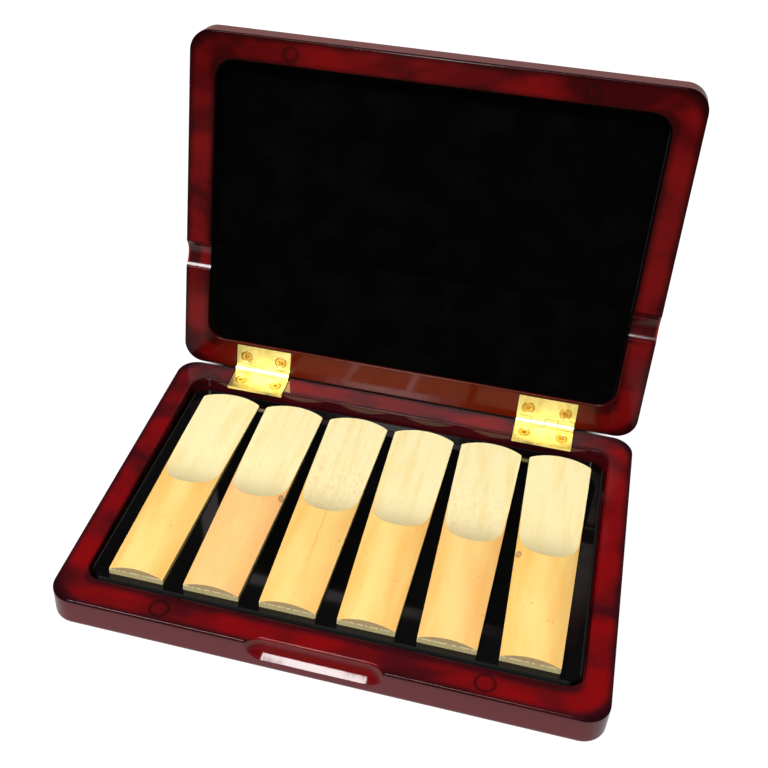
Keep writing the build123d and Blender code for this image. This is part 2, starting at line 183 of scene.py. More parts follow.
class Finish(ABC):
    """A surface finish that can make its Blender material."""

    name: str

    def material(self) -> Material:
        """Makes the material, with a Principled shader at its output.

        Returns:
            The finished material.
        """
        material = bpy.data.materials.new(self.name)
        material.use_nodes = True
        tree = material.node_tree
        tree.nodes.clear()
        shader = add(tree, "BsdfPrincipled", out=None)
        add(tree, "OutputMaterial", {"Surface": shader.outputs["BSDF"]}, out=None)
        self.dress(tree, shader)
        return material

    @abstractmethod
    def dress(self, tree: Tree, shader: Node) -> None:
        """Sets the shader up and adds the pattern's nodes."""

    @staticmethod
    def ruler(tree: Tree, centre: Triple = (0, 0, 0), turn: Triple = (0, 0, 0)) -> Socket:
        """Object coordinates in millimetres, from a centre and along its own axes.

        Args:
            tree: the node tree to add to.
            centre: the pattern's origin in metres.
            turn: the pattern's own turn in radians.

        Returns:
            The vector's socket.
        """
        place = add(tree, "TexCoord", out="Object")
        links = {"Vector": place, "Location": centre, "Rotation": turn, "Scale": (MM, MM, MM)}
        return add(tree, "Mapping", links, vector_type="TEXTURE")

    @staticmethod
    def patches(tree: Tree, ruler: Socket, size: Triple, **noise_settings: float) -> Socket:
        """Irregular patches, of a size in millimetres along each axis.

        Args:
            tree: the node tree to add to.
            ruler: the vector in millimetres.
            size: how wide, long and high a patch is.
            **noise_settings: the noise's other inputs, such as Detail.

        Returns:
            The patches' strength, from 0 to 1.
        """
        scaled = add(tree, "VectorMath", [ruler, size], operation="DIVIDE")
        return add(tree, "TexNoise", {"Vector": scaled, "Scale": 1.0, **noise_settings})

    @staticmethod
    def grain(tree: Tree, ruler: Socket, grain: Grain) -> Socket:
        """How strongly a pattern shows at each place.

        Args:
            tree: the node tree to add to.
            ruler: the vector in millimetres.
            grain: the pattern.

        Returns:
            Its strength, from the pattern's least to its most.
        """
        look = {"Detail": grain.detail, "Roughness": grain.roughness, "Distortion": grain.distortion}
        patches = Finish.patches(tree, ruler, grain.size, **look)
        fade = [patches, *grain.span, grain.least, grain.most]
        return add(tree, "MapRange", fade, **(SMOOTH if grain.eased else {}))


@dataclass(frozen=True)
class LacqueredWood(Finish):
    """Maple, stained dark cherry red and clear lacquered, sprayed and polished.

    The stain is shaded: nearly black along every edge, and glowing red down the middle of each rim,
    in soft clouds. The thick lacquer gives a wet, slightly wavy reflection. Sizes are in
    millimetres from the middle of the half's rim plane, z towards the other half.
    """

    name: str = "lacquered_wood"
    centre: Triple = (0.0, 0.0, 0.0)
    turn: Triple = (0.0, 0.0, 0.0)
    half_width: float = 62.5
    half_depth: float = 46.0
    shade_radius: float = 9.0
    rim_width: float = 6.6
    inner_shade: float = 1.8
    outer_shade: float = 2.3
    board_top: Span = (-6.8, -7.6)
    board_evenness: float = 0.75
    rim_foot: Span = (-3.0, -2.0)
    side_top: Span = (-0.35, -1.1)
    edge_top: Span = (-0.02, -0.07)
    edge_foot: Span = (-0.65, -0.45)
    edge_coat: float = 0.15
    plug: Span = (36.4, -42.4)
    plug_radius: float = 2.1
    plug_line: Span = (0.60, 0.12)
    plug_dark: float = 0.6
    shadow: str = "#20040a"
    deep: str = "#46090e"
    bright: str = "#7c060a"
    side: str = "#580c14"
    hollow: str = "#5e0204"
    # Where the scoop's ends get painted shade, across the case in millimetres.
    scoop_shaded_ends: Span = (11.0, 19.0)
    # The colour, place and strength of a painted brown reflection of the reeds on the rim between the
    # hinges.
    hinge_reflection: str | None = None
    hinge_rim: Span = (-36.0, -39.5)
    hinge_reach: Span = (56.0, 44.0)
    coat_roughness: float = 0.11
    coat_ior: float = 1.48
    filler: str = "#160606"
    drift: float = 0.05
    deep_glow: Span = (0.0, 0.5)
    bright_glow: Span = (0.40, 1.0)
    skin: Span = (4.4, 3.0)
    scoop_wall: Span = (0.1, 0.8)
    # How dark the painted shade at the scoop's ends is.
    scoop_end_shade: float = 0.75
    hinge_reflection_share: float = 0.85
    outer_start: float = -0.9
    inner_start: float = 0.6
    inner_dark: float = 0.3
    board_glow: float = 0.9
    clouds: Grain = Grain((17.0, 12.0, 12.0), (0.32, 0.66), least=0.38, roughness=0.45, distortion=0.5)
    pores: Grain = Grain((4.0, 0.2, 0.2), (0.6, 0.8), 0.14)
    wave: Triple = (5.0, 5.0, 5.0)
    wave_strength: float = 0.15
    wave_height: float = 0.25

    def dress(self, tree: Tree, shader: Node) -> None:
        """Shaded, cloudy stain, fine pores, plug rings, and a clear coat with a faint wave.

        Args:
            tree: the node tree to add to.
            shader: the material's Principled shader.
        """
        ruler = self.ruler(tree, self.centre, self.turn)
        x, y, z = add(tree, "SeparateXYZ", [ruler], out=None).outputs
        depth = self.depth_from_outline(tree, ruler)
        tone = self.rim_tone(tree, self.glow(tree, ruler, depth, x, z))
        on_rim = add(tree, "MapRange", [z, *self.rim_foot], **SMOOTH)
        below = add(tree, "MapRange", [z, *self.side_top], **SMOOTH)
        outside = add(tree, "MapRange", [depth, *self.skin], **SMOOTH)
        side = add(tree, "Math", [below, outside], operation="MULTIPLY")
        hollow = add(tree, "MapRange", [depth, *self.scoop_wall], **SMOOTH)
        aside = add(tree, "Math", [x], operation="ABSOLUTE")
        side_tone = self.side_tone(tree, hollow, aside)
        # A painted brown reflection of the reeds on the lid's rim between the hinges.
        if self.hinge_reflection:
            tone = self.paint_reflection_by_hinges(tree, tone, y, aside, on_rim)
        tone = add(tree, "Mix", {0: side, 6: tone, 7: side_tone}, 2, **COLOUR)
        pores = self.grain(tree, ruler, self.pores)
        tone = add(tree, "Mix", {0: pores, 6: tone, 7: self.filler}, 2, **COLOUR)
        ring = add(tree, "Math", [self.plug_ring(tree, x, y), on_rim], operation="MULTIPLY")
        tone = add(tree, "Mix", {0: ring, 6: tone, 7: self.filler}, 2, **COLOUR)
        wave = self.patches(tree, ruler, self.wave, Detail=2)
        wave = {"Height": wave, "Strength": self.wave_strength, "Distance": self.wave_height * MM}
        wavy = add(tree, "Bump", wave, "Normal")
        surface = {
            "Base Color": tone,
            "Roughness": 0.55,
            "Specular IOR Level": 0.0,
            "Coat Weight": self.lacquer(tree, z),
            "Coat Roughness": self.coat_roughness,
            "Coat IOR": self.coat_ior,
            "Coat Normal": wavy,
        }
        wire(tree, shader, surface)

    def rim_tone(self, tree: Tree, glow: Socket) -> Socket:
        """The stain's colour on the rim and the boards, from nearly black to bright red.

        Args:
            tree: the node tree to add to.
            glow: how brightly the red shows.

        Returns:
            The colour.
        """
        deep = add(tree, "MapRange", [glow, *self.deep_glow])
        bright = add(tree, "MapRange", [glow, *self.bright_glow])
        tone = add(tree, "Mix", {0: deep, 6: self.shadow, 7: self.deep}, 2, **COLOUR)
        return add(tree, "Mix", {0: bright, 6: tone, 7: self.bright}, 2, **COLOUR)

    def side_tone(self, tree: Tree, hollow: Socket, aside: Socket) -> Socket:
        """The stain's colour on the outer sides, and redder in the scoop, with painted shade darkening the
        scoop's ends.

        Args:
            tree: the node tree to add to.
            hollow: where the scoop's wall is, from 0 to 1.
            aside: how far from the middle, in millimetres.

        Returns:
            The colour.
        """
        # Painted shade: the scoop darkens towards its ends.
        end_shade = add(tree, "MapRange", [aside, *self.scoop_shaded_ends, 0.0, self.scoop_end_shade], **SMOOTH)
        hollow_tone = add(tree, "Mix", {0: end_shade, 6: self.hollow, 7: self.shadow}, 2, **COLOUR)
        return add(tree, "Mix", {0: hollow, 6: self.side, 7: hollow_tone}, 2, **COLOUR)

    def paint_reflection_by_hinges(self, tree: Tree, tone: Socket, y: Socket, aside: Socket, on_rim: Socket) -> Socket:
        """Paints a brown reflection of the reeds on the rim between the hinges.

        Args:
            tree: the node tree to add to.
            tone: the colour so far.
            y: the place from front to back, in millimetres.
            aside: how far from the middle, in millimetres.
            on_rim: where the rim is, from 0 to 1.

        Returns:
            The colour with the painted reflection.
        """
        reflected = add(tree, "MapRange", [y, *self.hinge_rim, 0.0, self.hinge_reflection_share], **SMOOTH)
        within = add(tree, "MapRange", [aside, *self.hinge_reach], **SMOOTH)
        reflected = add(tree, "Math", [reflected, within], operation="MULTIPLY")
        reflected = add(tree, "Math", [reflected, on_rim], operation="MULTIPLY")
        return add(tree, "Mix", {0: reflected, 6: tone, 7: self.hinge_reflection}, 2, **COLOUR)

    def lacquer(self, tree: Tree, z: Socket) -> Socket:
        """How much lacquer covers a place: polishing leaves it thin on the rounded edges of the rim.

        Args:
            tree: the node tree to add to.
            z: the height over the rim plane, in millimetres.

        Returns:
            The coat's weight, from 0 to 1.
        """
        under = add(tree, "MapRange", [z, *self.edge_top], **SMOOTH)
        over = add(tree, "MapRange", [z, *self.edge_foot], **SMOOTH)
        edge = add(tree, "Math", [under, over], operation="MULTIPLY")
        return add(tree, "MapRange", [edge, 0.0, 1.0, 1.0, self.edge_coat])

    def depth_from_outline(self, tree: Tree, ruler: Socket) -> Socket:
        """How far a point lies inside the half's rounded outline, up to the shading's radius.

        Args:
            tree: the node tree to add to.
            ruler: the vector in millimetres.

        Returns:
            The depth in millimetres.
        """
        flat = add(tree, "VectorMath", [ruler, (1, 1, 0)], operation="MULTIPLY")
        flat = add(tree, "VectorMath", [flat], operation="ABSOLUTE")
        core = (self.half_width - self.shade_radius, self.half_depth - self.shade_radius, 0)
        over = add(tree, "VectorMath", [flat, core], operation="SUBTRACT")
        over = add(tree, "VectorMath", [over, (0, 0, 0)], operation="MAXIMUM")
        reach = add(tree, "VectorMath", [over], "Value", operation="LENGTH")
        return add(tree, "Math", [self.shade_radius, reach], operation="SUBTRACT")

    def glow(self, tree: Tree, ruler: Socket, depth: Socket, x: Socket, z: Socket) -> Socket:
        """How brightly the red shows: most in the middle of a rim or of the board, in clouds.

        Args:
            tree: the node tree to add to.
            ruler: the vector in millimetres.
            depth: how far inside the outline a point lies, in millimetres.
            x: the place across the case, in millimetres.
            z: the height over the rim plane, in millimetres.

        Returns:
            The glow, from 0 to 1.
        """
        rise = add(tree, "MapRange", [depth, self.outer_start, self.outer_shade], **SMOOTH)
        start, end = self.rim_width + self.inner_start, self.rim_width - self.inner_shade
        inner = [depth, start, end, self.inner_dark, 1.0]
        fall = add(tree, "MapRange", inner, **SMOOTH)
        board = add(tree, "MapRange", [z, *self.board_top], **SMOOTH)
        fall = add(tree, "Math", [fall, board], operation="MAXIMUM")
        shade = add(tree, "Math", [rise, fall], operation="MULTIPLY")
        clouds = self.grain(tree, ruler, self.clouds)
        even = add(tree, "Math", [board, self.board_evenness], operation="MULTIPLY")
        clouds = add(tree, "Mix", {0: even, 2: clouds, 3: self.board_glow}, 0, data_type="FLOAT")
        drift = add(tree, "Math", [x, self.drift / self.half_width, 1.0], operation="MULTIPLY_ADD")
        clouds = add(tree, "Math", [clouds, drift], operation="MULTIPLY")
        return add(tree, "Math", [shade, clouds], operation="MULTIPLY")

    def plug_ring(self, tree: Tree, x: Socket, y: Socket) -> Socket:
        """The dark line of filler round each magnet's plug, as a mask.

        Args:
            tree: the node tree to add to.
            x: the place across the case, in millimetres.
            y: the place from front to back, in millimetres.

        Returns:
            The line's strength.
        """
        aside = add(tree, "Math", [x], operation="ABSOLUTE")
        spot = add(tree, "CombineXYZ", [aside, y])
        away = add(tree, "VectorMath", [spot, (*self.plug, 0)], "Value", operation="DISTANCE")
        off = add(tree, "Math", [away, self.plug_radius], operation="SUBTRACT")
        off = add(tree, "Math", [off], operation="ABSOLUTE")
        return add(tree, "MapRange", [off, *self.plug_line, 0.0, self.plug_dark], **SMOOTH)


@dataclass(frozen=True)
class BlackGlass(Finish):
    """Float glass, painted black behind: a dark mirror with a faint green-grey body.

    Its edges are ground, so they stay dull where the polished face would glint.
    """

    name: str = "black_glass"
    half_size: Span = (55.65, 37.55)
    middle_y: float = 0.75
    ground: Span = (-0.25, -0.05)
    polish: Span = (0.05, 1.0)
    body: str = "#040404"
    dusty: str = "#0a0b0a"
    dust: Grain = Grain((16.0, 16.0, 16.0), (0.35, 0.75), detail=5, roughness=0.6, eased=False)

    def dress(self, tree: Tree, shader: Node) -> None:
        """A near-black body that dust greys in patches, a sharp reflection, and dull ground edges.

        Args:
            tree: the node tree to add to.
            shader: the material's Principled shader.
        """
        ruler = self.ruler(tree)
        dust = self.grain(tree, ruler, self.dust)
        body = add(tree, "Mix", {0: dust, 6: self.body, 7: self.dusty}, 2, **COLOUR)
        spot = add(tree, "VectorMath", [ruler, (0, self.middle_y, 0)], operation="SUBTRACT")
        spot = add(tree, "VectorMath", [spot], operation="ABSOLUTE")
        spot = add(tree, "VectorMath", [spot, (*self.half_size, 0)], operation="SUBTRACT")
        over_x, over_y, _ = add(tree, "SeparateXYZ", [spot], out=None).outputs
        over = add(tree, "Math", [over_x, over_y], operation="MAXIMUM")
        rough = add(tree, "MapRange", [over, *self.ground, *self.polish], **SMOOTH)
        wire(tree, shader, {"Base Color": body, "Roughness": rough, "IOR": 1.5, "Specular IOR Level": 0.4})


@dataclass(frozen=True)
class Brass(Finish):
    """Rolled brass sheet, polished: warm yellow metal with fine rolling lines."""

    name: str = "brass"
    tone: str = "#f6e8a4"
    shade: str = "#e8d88c"
    roughness: float = 0.38
    rolling: Triple = (2.5, 0.11, 0.11)
    rolling_spread: Span = (0.7, 1.4)
    rolling_height: float = 0.03
    tarnish: Grain = Grain((2.0, 2.0, 2.0), (0.35, 0.7), detail=3)

    def dress(self, tree: Tree, shader: Node) -> None:
        """A slightly uneven yellow with rolling lines across the leaf.

        Args:
            tree: the node tree to add to.
            shader: the material's Principled shader.
        """
        ruler = self.ruler(tree)
        lines = self.patches(tree, ruler, self.rolling, Detail=3)
        tarnish = self.grain(tree, ruler, self.tarnish)
        tone = add(tree, "Mix", {0: tarnish, 6: self.tone, 7: self.shade}, 2, **COLOUR)
        spread = [self.roughness * share for share in self.rolling_spread]
        rough = add(tree, "MapRange", [lines, 0.0, 1.0, *spread])
        bumps = {"Height": lines, "Strength": 0.15, "Distance": self.rolling_height * MM}
        bumps = add(tree, "Bump", bumps, "Normal")
        wire(tree, shader, {"Base Color": tone, "Metallic": 1.0, "Roughness": rough, "Normal": bumps})


@dataclass(frozen=True)
class Nickel(Finish):
    """Nickel-plated magnet: bright grey metal, hidden under its plug."""

    name: str = "nickel_plate"
    shade: str = "#b0b0b2"
    tone: str = "#d4d4d8"
    speckle: Triple = (0.25, 0.25, 0.25)

    def dress(self, tree: Tree, shader: Node) -> None:
        """A grey metal with a faint grain.

        Args:
            tree: the node tree to add to.
            shader: the material's Principled shader.
        """
        speckle = self.patches(tree, self.ruler(tree), self.speckle, Detail=2)
        tone = add(tree, "Mix", {0: speckle, 6: self.shade, 7: self.tone}, 2, **COLOUR)
        wire(tree, shader, {"Base Color": tone, "Metallic": 1.0, "Roughness": 0.25})


@dataclass(frozen=True)
class Velvet(Finish):
    """Short black velvet: almost no light comes back but a thin sheen on its turned edges."""

    name: str = "black_velvet"
    pile: str = "#010101"
    rubbed: str = "#040404"
    lint: str = "#55555a"
    lint_spacing: float = 9.0
    lint_size: float = 0.0
    lie: Grain = Grain((8.0, 8.0, 8.0), (0.4, 0.75), detail=4)
    tuft: Triple = (0.14, 0.14, 0.14)
    tuft_height: float = 0.15

    def dress(self, tree: Tree, shader: Node) -> None:
        """Pile that lies in patches, with a few specks of lint.

        Args:
            tree: the node tree to add to.
            shader: the material's Principled shader.
        """
        ruler = self.ruler(tree)
        lie = self.grain(tree, ruler, self.lie)
        tone = add(tree, "Mix", {0: lie, 6: self.pile, 7: self.rubbed}, 2, **COLOUR)
        if self.lint_size:
            specks = add(tree, "TexVoronoi", {"Vector": ruler, "Scale": 1 / self.lint_spacing}, "Distance")
            near = add(tree, "Math", [specks, self.lint_size / self.lint_spacing], operation="LESS_THAN")
            tone = add(tree, "Mix", {0: near, 6: tone, 7: self.lint}, 2, **COLOUR)
        tufts = self.patches(tree, ruler, self.tuft, Detail=3)
        tufts = {"Height": tufts, "Strength": 0.5, "Distance": self.tuft_height * MM}
        surface = {
            "Base Color": tone,
            "Roughness": 0.95,
            "Specular IOR Level": 0.02,
            "Sheen Weight": 0.08,
            "Sheen Roughness": 0.35,
            "Sheen Tint": "#6a6a70",
            "Normal": add(tree, "Bump", tufts, "Normal"),
        }
        wire(tree, shader, surface)


@dataclass(frozen=True)
class Cane(Finish):
    """Reed cane: glossy golden bark, and a pale, fibrous cut where it is filed down.

    The bark is what still lies on the stem's round outside, so it is told by its distance from the
    stem's axis. One finish per reed, so that no two have the same fibres. Sizes are in millimetres
    from the middle of the heel's flat side: x across the reed, y along it.
    """

    name: str = "cane"
    centre: Triple = (0.0, 0.0, 0.0)
    slope: float = 0.0
    seed: float = 0.0
    coarse: float = 0.0
    peach: float = 0.0
    knot: Span | None = None
    crack: float | None = None
    bark_radius: float = 14.5
    crest: float = 3.0
    side_height: float = 1.44
    # The lighter bark down its middle, where a highlight is painted, and the darker bark of its streaks and
    # of the painted shade on its flanks.
    bark_light: str = "#ffdb86"
    bark_streak_and_shade: str = "#fdc163"
    bark_peach: str = "#fcbf84"
    bark_fibre: str = "#f0b260"
    speck: str = "#b0682a"
    cut_light: str = "#feefb6"
    cut_deep: str = "#f9e29e"
    cut_fibre: str = "#ecd49a"
    cut_rosy: str = "#e6bc8c"
    cut_foot: str = "#e4d2a0"
    end_rind: str = "#b0986c"
    end_pith: str = "#b8aa7a"
    end_dash: str = "#e2d6a4"
    end_vessel: str = "#77694a"
    knot_rim: str = "#8a4a34"
    knot_heart: str = "#d8a888"
    crack_line: str = "#d8964a"
    seed_step: float = 7.0
    bark_skin: Span = (0.05, 0.02)
    ragged: Triple = (0.45, 4.0, 2.5)
    ragged_depth: float = 0.10
    sawn: Span = (0.06, 0.01)
    fibre: Triple = (0.22, 8.0, 2.5)
    fibre_height: float = 0.06
    roughness: Span = (0.65, 0.42)
    # How far from the middle the bark's painted flank shade reaches, and how strong it is.
    flank_shade: Span = (0.8, 5.5)
    flank_shade_share: float = 0.22
    streak: Triple = (4.5, 24.0, 2.5)
    deepening: Span = (0.30, 0.95)
    blush: Grain = Grain((5.0, 12.0, 2.5), (0.3, 0.7), eased=False)
    bark_lines: Grain = Grain((0.42, 20.0, 2.5), (0.60, 0.85), 0.35, detail=3)
    dot_scale: float = 0.42
    dot: Span = (0.15, 0.06)
    dot_dark: float = 0.5
    dot_groups: Grain = Grain((6.0, 11.0, 2.5), (0.50, 0.62), detail=1)
    wander: Triple = (40.0, 5.0, 40.0)
    wander_width: float = 1.2
    crack_width: Span = (0.32, 0.04)
    crack_dark: float = 0.4
    crack_reach: Span = (8.0, 24.0)
    knot_size: Triple = (0.8, 1.4, 1.0)
    rim_edge: Span = (1.1, 0.5)
    rim_dark: float = 0.7
    heart_edge: Span = (0.6, 0.3)
    heart_light: float = 0.8
    cut_streaks: Grain = Grain((2.0, 25.0, 2.5), (0.40, 0.75), detail=3)
    fine_fibres: Grain = Grain((0.25, 3.0, 2.5), (0.54, 0.78), 0.28, detail=3)
    flecks: Grain = Grain((0.6, 2.2, 2.5), (0.46, 0.74), 0.10, detail=4, roughness=0.6)
    coarse_share: float = 0.5
    fleck_reach: Span = (64.0, 42.0)
    foot_reach: Span = (47.0, 38.0)
    foot_dark: float = 0.45
    rind_uneven: Triple = (0.31, 10.0, 2.5)
    rind_edge: Span = (0.1, 0.45)
    vessels: Grain = Grain((0.29, 1.0, 0.29), (0.45, 0.65), 0.45)
    row_edge: Span = (0.22, 0.08)
    dashes: Grain = Grain((0.77, 10.0, 2.5), (0.42, 0.52), detail=1)

    def dress(self, tree: Tree, shader: Node) -> None:
        """Bark, cut and end grain, each with its own fibres and gloss.

        Args:
            tree: the node tree to add to.
            shader: the material's Principled shader.
        """
        local = self.ruler(tree, self.centre, (-self.slope, 0.0, 0.0))
        across, along, up = add(tree, "SeparateXYZ", [local], out=None).outputs
        own = add(tree, "VectorMath", [local, (0, 0, self.seed * self.seed_step)], operation="ADD")
        from_axis = add(tree, "Math", [up, self.bark_radius - self.crest], operation="ADD")
        section = add(tree, "CombineXYZ", [across, 0.0, from_axis])
        radius = add(tree, "VectorMath", [section], "Value", operation="LENGTH")
        ragged = self.patches(tree, own, self.ragged, Detail=3)
        radius = add(tree, "Math", [ragged, self.ragged_depth, radius], operation="MULTIPLY_ADD")
        below, above = self.bark_skin
        bark_edge = [radius, self.bark_radius - below, self.bark_radius + above]
        barked = add(tree, "MapRange", bark_edge, **SMOOTH)
        bark = self.bark(tree, own, across, along)
        cut = self.cut(tree, own, along)
        end = self.end_grain(tree, own, up)
        tone = add(tree, "Mix", {0: barked, 6: cut, 7: bark}, 2, **COLOUR)
        sawn = add(tree, "MapRange", [along, *self.sawn], **SMOOTH)
        tone = add(tree, "Mix", {0: sawn, 6: tone, 7: end}, 2, **COLOUR)
        fibres = self.patches(tree, own, self.fibre, Detail=3)
        furrow = add(tree, "Math", [1.25, barked], operation="SUBTRACT")
        height = add(tree, "Math", [fibres, furrow], operation="MULTIPLY")
        bumps = {"Height": height, "Strength": 0.35, "Distance": self.fibre_height * MM}
        surface = {
            "Base Color": tone,
            "Roughness": add(tree, "MapRange", [barked, 0.0, 1.0, *self.roughness]),
            "Normal": add(tree, "Bump", bumps, "Normal"),
        }
        wire(tree, shader, surface)

    def bark(self, tree: Tree, own: Socket, across: Socket, along: Socket) -> Socket:
        """Golden bark with a painted highlight down its arch and painted shade on its flanks, fine brown
        specks, and perhaps a crack and a knot.

        Args:
            tree: the node tree to add to.
            own: the reed's own vector in millimetres.
            across: the place across the reed, in millimetres.
            along: the place along the reed, from its heel.

        Returns:
            The bark's colour.
        """
        aside = add(tree, "Math", [across], operation="ABSOLUTE")
        # Painted highlight and shade: the bark is lighter down its middle and darker towards its flanks,
        # besides its real streaks.
        flank_shade = add(tree, "MapRange", [aside, *self.flank_shade], **SMOOTH)
        streaks = self.patches(tree, own, self.streak, Detail=2)
        deep = add(tree, "Math", [flank_shade, self.flank_shade_share, streaks], operation="MULTIPLY_ADD")
        deep = add(tree, "MapRange", [deep, *self.deepening], **SMOOTH)
        tone = add(tree, "Mix", {0: deep, 6: self.bark_light, 7: self.bark_streak_and_shade}, 2, **COLOUR)
        blush = self.grain(tree, own, replace(self.blush, least=0.5 * self.peach, most=self.peach))
        tone = add(tree, "Mix", {0: blush, 6: tone, 7: self.bark_peach}, 2, **COLOUR)
        lines = self.grain(tree, own, self.bark_lines)
        tone = add(tree, "Mix", {0: lines, 6: tone, 7: self.bark_fibre}, 2, **COLOUR)
        cells = add(tree, "TexVoronoi", {"Vector": own, "Scale": self.dot_scale}, "Distance")
        dots = add(tree, "MapRange", [cells, *self.dot, 0.0, self.dot_dark], **SMOOTH)
        groups = self.grain(tree, own, self.dot_groups)
        dots = add(tree, "Math", [dots, groups], operation="MULTIPLY")
        tone = add(tree, "Mix", {0: dots, 6: tone, 7: self.speck}, 2, **COLOUR)
        if self.crack is not None:
            tone = self.add_crack(tree, own, across, along, tone)
        if self.knot:
            tone = self.add_knot(tree, across, along, tone)
        return tone

    def add_crack(self, tree: Tree, own: Socket, across: Socket, along: Socket, tone: Socket) -> Socket:
        """A hairline shake in the bark that wanders along the reed.

        Args:
            tree: the node tree to add to.
            own: the reed's own vector in millimetres.
            across: the place across the reed, in millimetres.
            along: the place along the reed, from its heel.
            tone: the colour so far.

        Returns:
            The colour with the crack.
        """
        wander = self.patches(tree, own, self.wander, Detail=3)
        path = add(tree, "Math", [wander, self.wander_width, across], operation="MULTIPLY_ADD")
        off = add(tree, "Math", [path, self.crack + self.wander_width / 2], operation="SUBTRACT")
        off = add(tree, "Math", [off], operation="ABSOLUTE")
        line = add(tree, "MapRange", [off, *self.crack_width, 0.0, self.crack_dark], **SMOOTH)
        reach = add(tree, "MapRange", [along, *self.crack_reach], **SMOOTH)
        line = add(tree, "Math", [line, reach], operation="MULTIPLY")
        return add(tree, "Mix", {0: line, 6: tone, 7: self.crack_line}, 2, **COLOUR)

    def add_knot(self, tree: Tree, across: Socket, along: Socket, tone: Socket) -> Socket:
        """A small oval knot, dark round its rim and rosy inside.

        Args:
            tree: the node tree to add to.
            across: the place across the reed, in millimetres.
            along: the place along the reed, from its heel.
            tone: the colour so far.

        Returns:
            The colour with the knot.
        """
        spot = add(tree, "CombineXYZ", [across, along])
        spot = add(tree, "VectorMath", [spot, (*self.knot, 0)], operation="SUBTRACT")
        spot = add(tree, "VectorMath", [spot, self.knot_size], operation="DIVIDE")
        away = add(tree, "VectorMath", [spot], "Value", operation="LENGTH")
        rim = add(tree, "MapRange", [away, *self.rim_edge, 0.0, self.rim_dark], **SMOOTH)
        tone = add(tree, "Mix", {0: rim, 6: tone, 7: self.knot_rim}, 2, **COLOUR)
        heart = add(tree, "MapRange", [away, *self.heart_edge, 0.0, self.heart_light], **SMOOTH)
        return add(tree, "Mix", {0: heart, 6: tone, 7: self.knot_heart}, 2, **COLOUR)

    def cut(self, tree: Tree, own: Socket, along: Socket) -> Socket:
        """The filed cut: nearly white cane, faintly streaked, and coarser and rosier on some reeds.

        Args:
            tree: the node tree to add to.
            own: the reed's own vector in millimetres.
            along: the place along the reed, from its heel.

        Returns:
            The cut's colour.
        """
        streaks = self.grain(tree, own, self.cut_streaks)
        tone = add(tree, "Mix", {0: streaks, 6: self.cut_light, 7: self.cut_deep}, 2, **COLOUR)
        rough = self.coarse_share * self.coarse
        fine = self.grain(tree, own, replace(self.fine_fibres, most=self.fine_fibres.most + rough))
        tone = add(tree, "Mix", {0: fine, 6: tone, 7: self.cut_fibre}, 2, **COLOUR)
        flecks = self.grain(tree, own, replace(self.flecks, most=self.flecks.most + rough))
        near_bark = add(tree, "MapRange", [along, *self.fleck_reach], **SMOOTH)
        flecks = add(tree, "Math", [flecks, near_bark], operation="MULTIPLY")
        foot = add(tree, "MapRange", [along, *self.foot_reach, 0.0, self.foot_dark], **SMOOTH)
        tone = add(tree, "Mix", {0: foot, 6: tone, 7: self.cut_foot}, 2, **COLOUR)
        return add(tree, "Mix", {0: flecks, 6: tone, 7: self.cut_rosy}, 2, **COLOUR)

    def end_grain(self, tree: Tree, own: Socket, up: Socket) -> Socket:
        """The sawn heel: a dark rind under the arch, a row of pale dashes, and lighter pith below.

        Args:
            tree: the node tree to add to.
            own: the reed's own vector in millimetres.
            up: the height over the reed's flat side.

        Returns:
            The heel's colour.
        """
        uneven = self.patches(tree, own, self.rind_uneven, Detail=2)
        uneven = add(tree, "Math", [uneven, 0.5, up], operation="MULTIPLY_ADD")
        rind_edge = [uneven, *(self.side_height + edge for edge in self.rind_edge)]
        rind = add(tree, "MapRange", rind_edge, **SMOOTH)
        tone = add(tree, "Mix", {0: rind, 6: self.end_pith, 7: self.end_rind}, 2, **COLOUR)
        vessels = self.grain(tree, own, self.vessels)
        tone = add(tree, "Mix", {0: vessels, 6: tone, 7: self.end_vessel}, 2, **COLOUR)
        height = add(tree, "Math", [up, self.side_height], operation="SUBTRACT")
        height = add(tree, "Math", [height], operation="ABSOLUTE")
        row = add(tree, "MapRange", [height, *self.row_edge], **SMOOTH)
        dashes = self.grain(tree, own, self.dashes)
        dashes = add(tree, "Math", [row, dashes], operation="MULTIPLY")
        return add(tree, "Mix", {0: dashes, 6: tone, 7: self.end_dash}, 2, **COLOUR)


